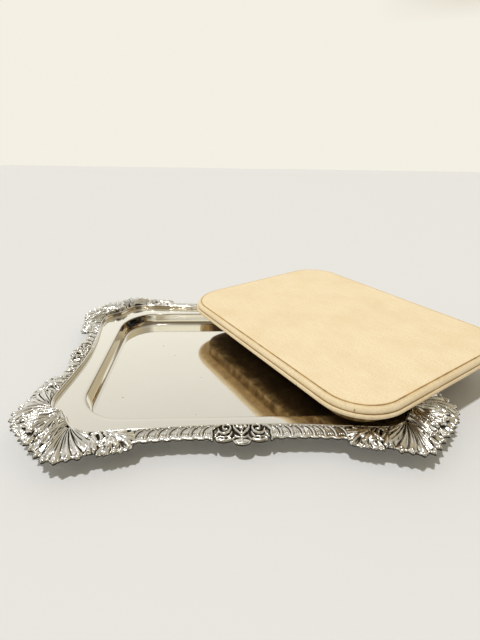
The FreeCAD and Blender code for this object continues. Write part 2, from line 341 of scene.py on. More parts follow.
class Relief:
    """The highest of many raised shapes over a set of plan points."""

    def __init__(self, x, y):
        self.x = x
        self.y = y
        self.z = np.full(x.shape, NOTHING)

    def near(self, points, reach):
        """Indices of the plan points in a box around the given points."""
        low = points.min(axis=0) - reach
        high = points.max(axis=0) + reach
        inside_x = (self.x > low[0]) & (self.x < high[0])
        inside_y = (self.y > low[1]) & (self.y < high[1])
        return np.nonzero(inside_x & inside_y)[0]

    def raise_to(self, index, height):
        self.z[index] = np.maximum(self.z[index], height)

    def follow(self, line, index):
        """Distance, side and share along a polyline for the chosen plan points."""
        x = self.x[index]
        y = self.y[index]
        best = np.full(x.shape, FAR_AWAY)
        side = np.zeros(x.shape)
        along = np.zeros(x.shape)
        length = distances(line)
        for k in range(len(line) - 1):
            dx, dy = line[k + 1] - line[k]
            span = math.hypot(dx, dy)
            t = np.clip(((x - line[k, 0]) * dx + (y - line[k, 1]) * dy) / span ** 2, 0, 1)
            ox = x - line[k, 0] - t * dx
            oy = y - line[k, 1] - t * dy
            distance = np.hypot(ox, oy)
            nearer = distance < best
            best = np.where(nearer, distance, best)
            side = np.where(nearer, np.sign(dx * oy - dy * ox), side)
            along = np.where(nearer, (length[k] + t * span) / length[-1], along)
        return best, side, along

    def frond(self, root, bend, tip, widths, heights, rise, reeds, groove, curl=0.0, skew=0.0):
        """A tapering lobe on a curved spine. widths and heights are (root, middle, tip).

        skew moves the crest to one side, so that neighbours seem to overlap."""
        t = np.linspace(0, 1, SPINE_POINTS)[:, None]
        line = eased(t, (np.array(root), np.array(bend), np.array(tip)))
        index = self.near(line, max(widths))
        if len(index) == 0:
            return
        distance, side, along = self.follow(line, index)
        half = eased(along, widths)
        across = side * distance / half
        past = across - skew
        leaning = np.where(past > 0, past / (1 - skew), past / (1 + skew))
        dome = np.sqrt(np.clip(1 - leaning * leaning, 0, 1))
        cut = groove * dome * (1 - GROOVE_FADE * along)
        cut *= 0.5 - 0.5 * np.cos(reeds * math.pi * leaning)
        height = eased(along, heights) + rise * (dome - cut)
        height += curl * np.clip((along - CURL_START) / (1 - CURL_START), 0, 1) ** 2 * dome
        self.raise_to(index, np.where(distance < half, height, NOTHING))

    def fan(self, root, axis_tip, tips, heights, rise, sweep,
            reeds=2, groove=0.55, notch=True, curl=0.4):
        """Lobes that spread from a root like the parts of a leaf, each with a notched tip.

        sweep bends them towards the line from the root to axis_tip. A rib lies between each
        two lobes, and neither lobes nor notches are quite alike."""
        root = np.array(root, float)
        axis = np.array(axis_tip, float) - root
        axis /= np.linalg.norm(axis)
        tips = [np.array(tip, float) for tip in tips]
        uneven = random.Random(int(10 * root[0] + len(tips)))
        for i, tip in enumerate(tips):
            gaps = [np.linalg.norm(tips[j] - tip) for j in (i - 1, i + 1) if 0 <= j < len(tips)]
            spread = min(sum(gaps) / len(gaps), WIDEST_SPREAD) * uneven.uniform(0.93, 1.08)
            tip = tip + (uneven.uniform(-0.5, 0.5), uneven.uniform(-0.5, 0.5))
            length = np.linalg.norm(tip - root)
            straight = (tip - root) / length
            turn = axis[0] * straight[1] - axis[1] * straight[0]
            skew = float(np.clip(2.0 * turn, -0.42, 0.42))
            wide = 0.49 * spread
            end = tip - straight * wide * (1.25 if notch else 1.0)
            bend = root + 0.5 * length * ((1 - sweep) * straight + sweep * axis)
            lift = uneven.uniform(-0.3, 0.3)
            levels = (heights[0], heights[1] + lift, heights[2] + lift)
            widths = (0.10 * spread + 0.4, 0.27 * spread, wide)
            self.frond(root + LOBE_ROOT * (tip - root), bend, end, widths,
                       levels, rise, reeds, groove, curl, skew)
            if i + 1 < len(tips):
                way = 0.5 * (tips[i + 1] + tip) - root
                self.frond(root + RIB_ROOT * way, root + 0.5 * way, root + RIB_TIP * way,
                           (0.5, 0.11 * spread, 0.13 * spread),
                           (heights[0], heights[1] - 0.4, heights[2] + 1.2), 0.75 * rise, 1, 0.0)
            if notch:
                self.notches(tip, straight, spread, heights[2] + lift + rise, rise, uneven)

    def notches(self, tip, straight, spread, crest, rise, uneven):
        """Three small swellings that split a lobe's tip."""
        across = np.array([-straight[1], straight[0]])
        for k in (-1, 0, 1):
            way = straight + 0.7 * k * across
            back = (0.30 + 0.17 * abs(k)) * spread
            centre = tip - straight * back + across * k * 0.30 * spread
            size = 1.0 - 0.15 * abs(k) + uneven.uniform(-0.12, 0.12)
            angle = math.degrees(math.atan2(way[1], way[0]))
            self.dome(centre, (0.31 * spread * size, 0.22 * spread * size), angle,
                      crest - 0.9 * abs(k), rise)

    def hollow(self, centre, radius, depth):
        """A soft dish pressed into what is there."""
        far = ((self.x - centre[0]) ** 2 + (self.y - centre[1]) ** 2) / radius ** 2
        self.z = np.where(self.z > NOTHING, self.z - depth * np.exp(-far), self.z)

    def tube(self, line, radii, crests):
        """A round ridge along a smooth line, with radii and crest heights evenly along it."""
        line = smooth_run(line, TUBE_SPACING)
        index = self.near(line, max(radii))
        if len(index) == 0:
            return
        distance, _, along = self.follow(line, index)
        r = np.interp(along, np.linspace(0, 1, len(radii)), radii)
        crest = np.interp(along, np.linspace(0, 1, len(crests)), crests)
        dome = np.sqrt(np.clip(1 - (distance / r) ** 2, 0, 1))
        self.raise_to(index, np.where(distance < r, crest - 1.6 * r * (1 - dome), NOTHING))

    def dome(self, centre, half_sizes, angle, crest, rise):
        """A smooth swelling, an ellipse in plan."""
        c = math.cos(math.radians(angle))
        s = math.sin(math.radians(angle))
        dx = self.x - centre[0]
        dy = self.y - centre[1]
        u = (dx * c + dy * s) / half_sizes[0]
        v = (-dx * s + dy * c) / half_sizes[1]
        q = u * u + v * v
        top = crest - rise * (1 - np.sqrt(np.clip(1 - q, 0, 1)))
        self.z = np.maximum(self.z, np.where(q < 1, top, NOTHING))


def cavity(z, reach, scale):
    """How deep each grid point lies below its surroundings, 0 to 1, for tarnish."""
    blurred = z.copy()
    for axis in (0, 1):
        padded = np.pad(blurred, [(reach, reach)] * 2, mode="edge")
        total = np.zeros_like(blurred)
        for k in range(-reach, reach + 1):
            total += np.roll(padded, k, axis=axis)[reach:-reach, reach:-reach]
        blurred = total / (2 * reach + 1)
    return np.clip((blurred - z) / scale, 0, 1)


def softened(z):
    """The heights with the sharpest steps eased, each point averaged with its neighbours."""
    for _ in ("rows", "columns"):
        wide = np.pad(z, [(1, 1), (0, 0)], mode="edge")
        z = ((wide[:-2] + 2 * wide[1:-1] + wide[2:]) / 4).T
    return z


def casting_mesh(plan, z):
    """Vertices, faces and tarnish of a casting from its plan grid and heights.

    plan is rows x columns x 2. Row 0 is the inner edge and the last row the outline."""
    edge_round = 1.6
    skirt_tarnish = 0.6
    rows, columns = z.shape
    from_edge = np.linalg.norm(plan - plan[-1:], axis=2)
    k = np.clip(from_edge / edge_round, 0, 1)
    rounding = np.sqrt(1 - (1 - k) ** 2)
    floor = CASTING_BOTTOM + 0.7
    z = floor + (softened(np.maximum(z, floor)) - floor) * rounding
    tarnish = np.clip(0.9 * cavity(z, 3, 0.5) + 0.7 * cavity(z, 9, 1.5), 0, 1)
    top = np.dstack([plan, z]).reshape(-1, 3)
    faces = []
    for r in range(rows - 1):
        a = r * columns
        b = a + columns
        faces += [(a + c, a + c + 1, b + c + 1, b + c) for c in range(columns - 1)]
    border = list(range(columns))
    border += [r * columns + columns - 1 for r in range(1, rows)]
    border += [(rows - 1) * columns + c for c in range(columns - 2, -1, -1)]
    border += [r * columns for r in range(rows - 2, 0, -1)]
    skirt = top[border].copy()
    skirt[:, 2] = CASTING_BOTTOM
    base = len(top)
    n = len(border)
    faces += [(border[i], base + i, base + (i + 1) % n, border[(i + 1) % n]) for i in range(n)]
    faces.append([base + i for i in range(n)])
    vertices = np.vstack([top, skirt])
    shade = np.concatenate([tarnish.ravel(), np.full(n, skirt_tarnish)])
    return vertices, faces, shade


def placed(name, mesh_data, sx, sy, node):
    """The casting in its own quarter of the tray, standing for its CAD node."""
    vertices, faces, shade = mesh_data
    obj = new_object(name, vertices * (sx, sy, 1), faces, {"tarnish": shade}, sharp_angle=65)
    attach(obj, "tray")
    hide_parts(node)
    return obj


# ---- gadroon strips ----

GADROON_PITCH = 9.2
STRIP_SPACING = 0.22
STRIP_LAP = 1.0                # how far the strips reach under the shells and corners
ORNAMENT_LAP = 1.2             # how far the shells and corners reach over the strips


def hump(distance, half):
    """1 at distance 0, falling to 0 at half as a parabola."""
    return np.clip(1 - (distance / half) ** 2, 0, 1)


def gadroon_grid(inner, outer, start, end):
    """A strip of curved gadroons between two edges, each an (n, 2) run of plan points.

    Each gadroon starts along the inner edge and turns through a quarter circle to run
    straight out. Finer reeds lie between the gadroons, and a row of beads closes the strip.
    u runs along the strip from start to end, and v outward as a share of its width."""
    rows = 72
    pitch = (end - start) / round((end - start) / GADROON_PITCH)
    bend_ends = 0.62
    longest_lean = 9.6
    fine_half = 0.09               # half widths of the reeds and gadroons, as shares of the pitch
    bold_half = 0.16
    reed_places = (0.32, 0.515, 0.71)
    comb_v = 0.66                  # the reeds stand out most here
    knob_v = 0.07
    bead_v = 0.94
    v = np.linspace(0, 1, rows)[:, None]
    u = np.linspace(start, end, len(inner))[None, :]
    reach = np.clip(1 - v / bend_ends, 0, 1)
    lean = longest_lean * (1 - np.sqrt(np.clip(1 - reach ** 2, 0, 1)))
    phase = ((u + lean - start) / pitch + 0.02) % 1.0

    def ridge(centre, half):
        return hump(np.abs((phase - centre + 0.5) % 1.0 - 0.5), half) ** 0.8

    bold = ridge(0.0, bold_half)
    fine = np.maximum.reduce([ridge(place, fine_half) for place in reed_places])
    swell = 21.5 - 0.5 * v - 1.5 * np.clip((v - 0.5) / 0.5, 0, 1) ** 2
    fade = np.clip(v / 0.06, 0.35, 1) * np.clip((0.91 - v) / 0.08, 0, 1)
    comb = np.exp(-((v - comb_v) / 0.07) ** 2)
    teeth = (0.42 + 0.36 * comb) * np.clip((0.77 - v) / 0.05, 0, 1)
    depth = 2.9 - 0.9 * v + np.clip((v - 0.72) / 0.06, 0, 1)
    z = swell - depth + fade * depth * np.maximum(bold, teeth * fine)
    knob_place = ((u - start) / pitch + 0.55) % 1.0 - 0.5
    knob = np.clip(1 - (knob_place * pitch / 1.5) ** 2 - ((v - knob_v) * 18 / 1.3) ** 2, 0, 1)
    z = np.maximum(z, 19.6 + 1.7 * np.sqrt(knob))
    bead_place = ((u - start) / pitch + 0.5) % 1.0 - 0.5
    bead = np.sqrt(hump(bead_place, 0.33))
    z = np.maximum(z, 17.4 + 1.8 * bead * np.sqrt(hump(v - bead_v, 0.055)))
    scallop = 1.0 - 0.07 * (1 - bead) ** 2
    plan = inner[None] + (v * scallop)[..., None] * (outer - inner)[None]
    return plan, z


def strip_edges(start, end, axis, outline):
    """Inner and outer runs of a strip between two stations along a side."""
    count = int((end - start) / STRIP_SPACING)
    station = np.linspace(start, end, count)
    other = 1 - axis
    side = outward(step_quarter, CASTING_INSET)
    side = side[np.argsort(side[:, axis])]
    if axis == 0:                  # only the step along this side, without the corner
        side = side[side[:, 0] < 130]
    else:
        side = side[(side[:, 0] > 168) & (side[:, 1] < 86)]
    outer_line = smooth_run(outline, 1.0)
    outer_line = outer_line[np.argsort(outer_line[:, axis])]
    runs = []
    for line in (side, outer_line):
        run = np.zeros((count, 2))
        run[:, axis] = station
        run[:, other] = np.interp(station, line[:, axis], line[:, other])
        runs.append(run)
    return runs


def in_quarters():
    """The signs and the words of the tray's four quarters."""
    for sx, across in ((1, "right"), (-1, "left")):
        for sy, deep in ((1, "back"), (-1, "front")):
            yield sx, across, sy, deep


def strip_mesh(start, end, axis, outline):
    inner, outer = strip_edges(start - STRIP_LAP, end + STRIP_LAP, axis, outline)
    return casting_mesh(*gadroon_grid(inner, outer, start, end))


def make_strips():
    long_outline = [(20, 147.0), (58.0, 147.0), (95.0, 150.0)]
    side_outline = [(188.2, 15.0), (188.2, 36.0), (189.6, 54.0)]
    long_mesh = strip_mesh(ORNAMENT_HALF, STRIP_END, 0, long_outline)
    side_mesh = strip_mesh(SIDE_ORNAMENT_HALF, SIDE_STRIP_END, 1, side_outline)
    pieces = []
    for sx, across, sy, deep in in_quarters():
        for mesh_data, place in ((long_mesh, (deep, across)), (side_mesh, (across, deep))):
            pieces.append(placed("gadroons_%s_%s" % place, mesh_data, sx, sy,
                                 "gadroon_strip_%s_%s" % place))
    return pieces


# ---- shells in the middle of the sides ----

def shell_relief(relief, width, inner, outer):
    """A small flower between two scrolls, with its middle on the Y axis.

    Its shapes are placed as on the long side, and squeezed into width, inner and outer."""
    drawn_inner = 129.6
    drawn_depth = 24.0
    depth = (outer - inner) / drawn_depth
    k = width / ORNAMENT_HALF

    def at(x, y):
        return (x * k, inner + (y - drawn_inner) * depth)

    def line(side, points):
        return [at(side * x, y) for x, y in points]

    hook = [(19.0, 130.6), (23.4, 132.6), (26.0, 136.6), (26.0, 141.4), (26.8, 144.8), (25.4, 148.0)]
    scroll = [(20.4, 134.6), (18.8, 139.6), (15.2, 141.4), (11.4, 138.9), (9.6, 134.8),
              (10.8, 131.2), (14.0, 130.4), (16.3, 132.8), (15.2, 135.9), (12.8, 135.4)]
    crook = [(23.6, 144.0), (21.4, 141.0), (20.6, 137.6)]
    inner_crook = [(11.8, 145.4), (9.4, 142.4), (8.4, 138.8)]
    ripple = [(22.6, 146.8), (19.4, 145.2), (16.0, 145.9), (12.6, 145.1), (9.4, 146.8)]
    petal = [(0.5, 143.6), (2.8, 139.6), (6.0, 135.4), (6.9, 131.4)]
    collar = [(0.0, 145.0), (1.8, 146.5), (4.6, 145.2), (8.2, 147.2)]
    outer_petal = [(0.0, 153.0), (4.4, 152.2), (7.4, 149.4)]
    for side in (-1, 1):
        relief.dome(at(side * 21.6, 138.0), (3.6, 6.5), 0, 19.8, 1.5)
        relief.dome(at(side * 15.0, 136.0), (6.0, 5.6), 0, 19.2, 1.2)
        for curve, radii, crests in (
                (hook, (0.7, 1.25, 1.2, 1.1, 0.8), (21.4, 22.3, 22.0, 21.2, 20.2)),
                (scroll, (0.7, 1.15, 1.1, 1.0, 0.9), (21.0, 22.0, 22.3, 22.3, 21.6)),
                (crook, (0.6, 1.0, 0.6), (20.6, 21.2, 20.8)),
                (inner_crook, (0.7, 1.1, 0.7), (21.0, 21.6, 21.2))):
            relief.tube(line(side, curve), radii, crests)
        relief.dome(at(side * 15.6, 147.7), (6.8 * k, 2.5), 0, 20.6, 2.6)
        for x in (17.2, 13.6):
            relief.hollow(at(side * x, 147.0), 1.2, 1.0)
        relief.dome(at(side * 3.6, 132.2), (1.9 * k, 1.8), 0, 21.9, 2.2)
        for curve, radii, crests in (
                (ripple, (0.6, 0.8, 0.8, 0.6), (20.4, 21.3, 21.3, 20.8)),
                (petal, (0.7, 1.0, 1.2, 0.9), (21.6, 21.9, 22.2, 21.8)),
                (collar, (0.8, 0.8, 0.8, 0.6), (21.4, 21.4, 21.4, 20.6)),
                (outer_petal, (1.2, 1.1, 0.7), (20.4, 20.4, 20.2))):
            relief.tube(line(side, curve), radii, crests)
    relief.dome(at(0, 133.6), (2.4 * k, 3.0), 0, 22.4, 2.8)
    relief.dome(at(0, 139.4), (1.4 * k, 2.4), 0, 21.6, 2.0)
    relief.dome(at(0, 149.6), (7.2 * k, 4.0), 0, 20.2, 2.2)
    relief.tube([at(0, 145.0), at(0, 152.6)], (0.8, 0.7), (21.2, 20.6))


def fanned_casting(inner, envelope, carve, base_share, rows):
    """A casting whose outline is the reach of its relief along rays from inner to envelope."""
    longest = 1.12                 # rays are searched a little past the envelope
    steps = 160
    ground = 18.6

    def heights(shares):
        plan = inner[None] + shares[..., None] * (envelope - inner)[None]
        relief = Relief(plan[..., 0].ravel(), plan[..., 1].ravel())
        carve(relief)
        return plan, relief.z.reshape(plan.shape[:2])

    v = np.linspace(0.0, longest, steps)[:, None]
    covered = heights(v)[1] > CASTING_BOTTOM
    last = steps - 1 - np.argmax(covered[::-1], axis=0)
    reach = np.where(covered.any(axis=0), v[last, 0], 0.0)
    reach = np.maximum(reach, base_share)
    kernel = np.array([1, 2, 1]) / 4.0
    reach = np.convolve(np.pad(reach, 1, mode="edge"), kernel, mode="valid")
    plan, z = heights(np.linspace(0, 1, rows)[:, None] * reach[None])
    return plan, np.maximum(z, ground)


def shell_stations(half, columns):
    return np.linspace(-half - ORNAMENT_LAP, half + ORNAMENT_LAP, columns)


def shell_grid(x, inner_y, half, start_y, outer_y, rows):
    """Plan and heights of a shell with its middle on the Y axis, one column for each x."""
    spare = 0.4                    # the rays end this far outside the relief
    inner = np.stack([x, inner_y], axis=1)
    envelope = np.stack([x, np.full(len(x), outer_y + spare)], axis=1)

    def carve(relief):
        shell_relief(relief, half, start_y, outer_y)

    return fanned_casting(inner, envelope, carve, 0.60, rows)


def make_shells():
    columns = 150
    x = shell_stations(ORNAMENT_HALF, columns)
    line = outward(step_quarter, CASTING_INSET)[:60]
    inner_y = np.interp(np.abs(x), line[:, 0], line[:, 1])
    start_y = inner_y[columns // 2]
    long_mesh = casting_mesh(*shell_grid(x, inner_y, ORNAMENT_HALF, start_y, 153.6, 60))
    x = shell_stations(SIDE_ORNAMENT_HALF, 124)
    start_y = 172.8
    inner_y = start_y + 0.0012 * x ** 2
    plan, z = shell_grid(x, inner_y, SIDE_ORNAMENT_HALF, start_y, 193.4, 56)
    side_mesh = casting_mesh(plan[..., ::-1], z)
    return [placed("shell_back", long_mesh, 1, 1, "shell_mount_back"),
            placed("shell_front", long_mesh, 1, -1, "shell_mount_front"),
            placed("shell_right", side_mesh, 1, 1, "shell_mount_right"),
            placed("shell_left", side_mesh, -1, 1, "shell_mount_left")]


# ---- corners ----

def corner_relief(relief):
    """Fans of leaves in three layers, a hollow and stems between them, and a spray on each side."""
    root_out = (150.0, 131.5)          # cluster towards the long side
    root_side = (174.0, 104.0)         # cluster towards the short side
    root_low = (164.0, 116.0)          # leaf along the diagonal, underneath
    root_top = (160.0, 112.0)          # leaf along the diagonal, on top
    low = (18.6, 21.6, 16.8)
    wide = (19.4, 22.6, 17.0)
    beside = (19.8, 23.0, 19.4)
    relief.fan(root_low, (190, 142), [
        (201.5, 129.5), (195.6, 136.6), (189.0, 143.2), (182.2, 149.8)], low, 3.6, 0.2)
    relief.fan(root_out, (149, 168), [
        (122.5, 160.8), (131.0, 165.8), (140.0, 168.8), (149.4, 170.8), (158.8, 168.8),
        (167.2, 163.4), (175.2, 155.6)], wide, 3.9, 0.42)
    relief.fan(root_side, (210, 108), [
        (203.4, 79.0), (205.8, 88.6), (208.4, 98.4), (210.8, 108.2), (209.6, 118.0),
        (204.4, 126.0)], wide, 3.9, 0.42)
    relief.fan(root_out, (140, 150), [
        (130.5, 142.0), (126.0, 148.0), (124.5, 155.0)], beside, 3.0, 0.5)
    relief.fan(root_side, (192, 90), [
        (182.6, 77.0), (189.4, 74.6), (196.6, 76.0)], beside, 3.0, 0.5)
    relief.fan((153.5, 125.0), (161, 146), [
        (160.0, 154.0), (166.6, 152.6), (172.6, 148.4)], (20.6, 24.2, 20.0), 3.6, 0.5, 2, 0.9)
    relief.fan((170.5, 108.5), (192, 114), [
        (198.6, 106.6), (200.0, 114.0), (198.0, 121.6)], (20.6, 24.2, 19.6), 3.6, 0.4, 2, 0.9)
    relief.fan(root_top, (186, 134), [
        (184.0, 109.2), (190.6, 115.6), (192.4, 123.4), (189.4, 131.0), (183.2, 137.2),
        (175.0, 141.0), (166.2, 142.2)], (20.6, 25.0, 22.0), 3.4, 0.25, 2, 0.85, curl=0.8)
    relief.fan((161.5, 112.5), (180, 130), [
        (177.0, 111.6), (181.2, 119.0), (179.8, 127.0), (173.0, 131.6), (164.6, 131.6),
        (158.6, 127.0)], (22.0, 25.4, 22.4), 2.8, 0.25, 2, 0.85, curl=0.6)
    relief.hollow((171.0, 120.5), 4.8, 2.6)
    relief.tube([(155.6, 121.0), (157.0, 116.6), (160.4, 113.2), (164.6, 111.2), (169.4, 110.8)],
                (0.9, 1.5, 0.9), (22.6, 24.8, 23.0))
    relief.tube([(160.6, 123.5), (161.8, 118.8), (165.4, 115.8), (170.6, 114.8)],
                (0.8, 1.2, 0.7), (23.4, 25.0, 23.4))
    for stem in ([(146.6, 133.2), (139.6, 137.6), (131.0, 139.0)],
                 [(176.8, 101.0), (180.6, 93.6), (181.2, 84.0)]):
        relief.tube(stem, (0.8, 1.4, 0.7), (21.8, 22.4, 20.6))
    spray(relief, lambda a, d: (91 + a, 133 + 0.07 * a + d))
    spray(relief, lambda a, d: (174.4 + 0.10 * a + 0.96 * d, 49.5 + 0.94 * a))


def spray(relief, at):
    """Leaves, a scroll and a tuft of small blades. at(along, out) gives a plan point."""
    relief.dome(at(29.0, 12.0), (11.0, 11.0), 0, 19.8, 1.2)
    relief.fan(at(28.0, 2.0), at(40.0, 4.0), [at(36.0, 1.6), at(39.0, 5.0), at(38.0, 9.6)],
               (19.4, 20.8, 19.0), 2.4, 0.2, 1, 0.2, False)
    relief.fan(at(36.0, 9.0), at(24.0, 27.0), [at(33.6, 25.6), at(28.4, 24.6), at(24.6, 20.4)],
               (19.2, 21.4, 18.2), 2.8, 0.3, 1, 0.16, False)
    edge = [at(2.0, 24.2), at(8.4, 26.6), at(14.8, 27.2), at(21.4, 28.0), at(28.0, 28.8)]
    relief.fan(at(16.0, 2.0), at(16.0, 27.0), edge, (18.0, 20.6, 16.8), 3.2, 0.25, 3, 0.4)
    tuft = [at(1.6, 3.4), at(-0.4, 8.0), at(-1.2, 12.8), at(-1.0, 17.6), at(0.8, 22.0)]
    relief.fan(at(14.0, 12.0), at(-2.0, 13.0), tuft, (19.0, 21.4, 17.4), 3.0, 0.3, 1, 0.2, False)
    inner = [at(8.0, 0.8), at(14.6, 0.6), at(21.2, 0.8), at(27.6, 1.6)]
    relief.fan(at(19.0, 14.0), at(19.0, 1.0), inner, (18.6, 20.8, 18.8), 2.6, 0.2, 3, 0.4)
    scroll = [at(35.0, 3.0), at(29.6, 6.4), at(27.2, 11.4), at(28.0, 17.0), at(31.6, 20.4),
              at(34.6, 18.6)]
    relief.tube(scroll, (0.8, 1.8, 1.4, 0.9), (21.4, 23.4, 22.0, 20.4))
    relief.tube([at(37.0, 7.4), at(32.6, 10.4), at(32.0, 14.6)], (0.7, 1.5, 0.9),
                (21.4, 22.6, 21.0))
    relief.fan(at(21.0, 9.6), at(8.0, 16.0),
               [at(6.4, 9.8), at(6.8, 16.4), at(11.2, 21.4), at(17.8, 22.4)],
               (19.6, 22.4, 19.0), 3.2, 0.3, 1, 0.16, False)
    relief.fan(at(22.0, 11.0), at(14.0, 5.0), [at(9.6, 4.6), at(16.6, 3.6)],
               (19.6, 22.0, 19.2), 3.0, 0.2, 1, 0.16, False)
    relief.fan(at(20.0, 9.0), at(24.0, 22.0), [at(22.4, 20.6), at(26.4, 17.4)],
               (19.6, 22.2, 19.2), 3.0, 0.2, 1, 0.16, False)


def corner_runs():
    """Matching runs along the corner's inner edge and just outside its tips."""
    columns = 560
    line = outward(step_quarter, CASTING_INSET)
    of_corner = (line[:, 0] > STRIP_END - ORNAMENT_LAP) & (line[:, 1] > SIDE_STRIP_END - ORNAMENT_LAP)
    outer_line = smooth_run([
        (90.2, 150.5), (91.0, 159.0), (110.0, 164.0), (130.0, 168.0), (149.0, 173.0),
        (163.0, 170.0), (181.0, 156.0), (198.0, 137.0), (213.0, 117.0), (212.5, 104.0),
        (206.5, 88.0), (204.5, 72.0), (201.0, 52.0), (190.0, 49.0)], 1.0)
    inner_share = (0.0, 0.24, 0.40, 0.485, 0.53, 0.565, 0.60, 0.66, 0.78, 1.0)
    outer_share = (0.04, 0.165, 0.27, 0.36, 0.43, 0.52, 0.60, 0.68, 0.83, 0.96)
    share = np.linspace(outer_share[0], outer_share[-1], columns)
    inner = at_shares(line[of_corner], np.interp(share, outer_share, inner_share))
    return inner, at_shares(outer_line, share)


def make_corners():
    inner, outer = corner_runs()
    mesh_data = casting_mesh(*fanned_casting(inner, outer, corner_relief, 0.80, 120))
    return [placed("corner_%s_%s" % (deep, across), mesh_data, sx, sy,
                   "corner_mount_%s_%s" % (deep, across))
            for sx, across, sy, deep in in_quarters()]


# ---------------- bread board

BOARD_LENGTH = 308.6
BOARD_WIDTH = 233.8
BOARD_RADIUS = 42.0
BOARD_CENTRE = Vector((119.6, 32.9, 51.7))
BOARD_TURN = 30.46
BOARD_TILT_ACROSS = -1.51
BOARD_TILT_ALONG = -0.62


def board_matrix():
    turn = Matrix.Rotation(math.radians(BOARD_TURN), 4, "Z")
    along = Matrix.Rotation(math.radians(BOARD_TILT_ALONG), 4, "X")
    across = Matrix.Rotation(math.radians(BOARD_TILT_ACROSS), 4, "Y")
    return Matrix.Translation(BOARD_CENTRE) @ turn @ along @ across


def board_profile():
    """(offset, height, shade value) from the middle of the top over the moulded edge to the tenon.

    Shade values up to 1 darken the grooves and the bead edges, make the lower bead darker towards its
    underside, and tint the flange's underside a darker tan as painted shade; values up to 1.5 paint
    shade on the tenon's side, and up to 2 paint deeper shade on the underside."""
    bead_loops = 9
    upper_centre = (0.8, -5.5)
    upper_half_sizes = (4.8, 5.1)
    lower_centre = (4.8, -8.7)
    lower_radius = 2.6
    flange_bottom = -11.9
    tenon_side = -8.2
    bottom = -26.2
    middle = -60.0                 # first and last loop, well inside the flat faces
    top = [(middle, 0.0, 0), (-20.0, 0.0, 0), (-2.0, 0.0, 0), (-0.6, -0.03, 0.1),
           (0.0, -0.3, 0.7), (0.35, -0.85, 1), (0.75, -0.7, 0.8)]
    upper_bead = []
    for k, angle in enumerate(np.radians(np.linspace(10, 90, bead_loops))):
        offset = upper_centre[0] + upper_half_sizes[0] * math.sin(angle)
        z = upper_centre[1] + upper_half_sizes[1] * math.cos(angle)
        upper_bead.append((offset, z, 0.0 if 1 < k < 7 else 0.3))
    groove = [(5.4, -5.9, 0.9), (5.25, -6.3, 1), (5.7, -6.6, 0.7)]
    lower_bead = []
    for k, angle in enumerate(np.radians(np.linspace(-60, 90, bead_loops))):
        offset = lower_centre[0] + lower_radius * math.cos(angle)
        z = lower_centre[1] - lower_radius * math.sin(angle)
        lower_bead.append((offset, z, 0.0 if k < 5 else 0.1 * (k - 4)))
    # painted shade: the flange's underside tinted a darker tan
    flange_under = [(4.0, -11.7, 0.6), (2.0, flange_bottom, 0.7), (-7.0, flange_bottom, 0.7)]
    # painted shade: the tenon's side dark brown and its bottom near black
    tenon = [(tenon_side, -12.2, 1.1), (tenon_side, -13.0, 1.5), (tenon_side, -24.6, 1.6),
             (-8.3, -25.6, 1.3), (-9.0, bottom, 1.6), (-22.0, bottom, 1.9), (middle, bottom, 2.0)]
    return top + upper_bead + groove + lower_bead + flange_under + tenon


def make_board():
    """The board's skin, a loop for each point of the profile, laid askew on the border."""
    corner_points = 26
    smallest_radius = 2.0
    loops = []
    groove_tone_and_painted_shade = []
    for offset, z, dark in board_profile():
        half_x = BOARD_WIDTH / 2 + offset
        half_y = BOARD_LENGTH / 2 + offset
        radius = max(BOARD_RADIUS + offset, smallest_radius)
        corner = corner_arc(half_x, half_y, radius, corner_points)
        loop = full_loop(np.vstack([[(0, half_y)], corner, [(half_x, 0)]]))
        loops.append(at_height(loop, z))
        groove_tone_and_painted_shade.append(np.full(len(loop), dark))
    vertices, faces = lofted(loops)
    matrix = np.array(board_matrix())
    moved = vertices @ matrix[:3, :3].T + matrix[:3, 3]
    # the third profile value goes on as an attribute: darker grooves, and painted shade on the
    # underside
    attributes = {"groove_tone_and_painted_shade": np.concatenate(groove_tone_and_painted_shade)}
    board = new_object("wooden_board", moved, faces, attributes, sharp_angle=45)
    grain = board.data.attributes.new("grain_place", "FLOAT_VECTOR", "POINT")
    grain.data.foreach_set("vector", (vertices * MM).astype(np.float32).ravel())
    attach(board, "board")
    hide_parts("bread_board")
    return board


# ---------------- materials

BLACK = (0, 0, 0)
WHITE = (1, 1, 1)


def grey(level):
    return (level, level, level)


def opaque(colour):
    """A colour's value for a socket. A socket's own colour is left as it is."""
    return (*colour, 1.0) if isinstance(colour, tuple) else colour


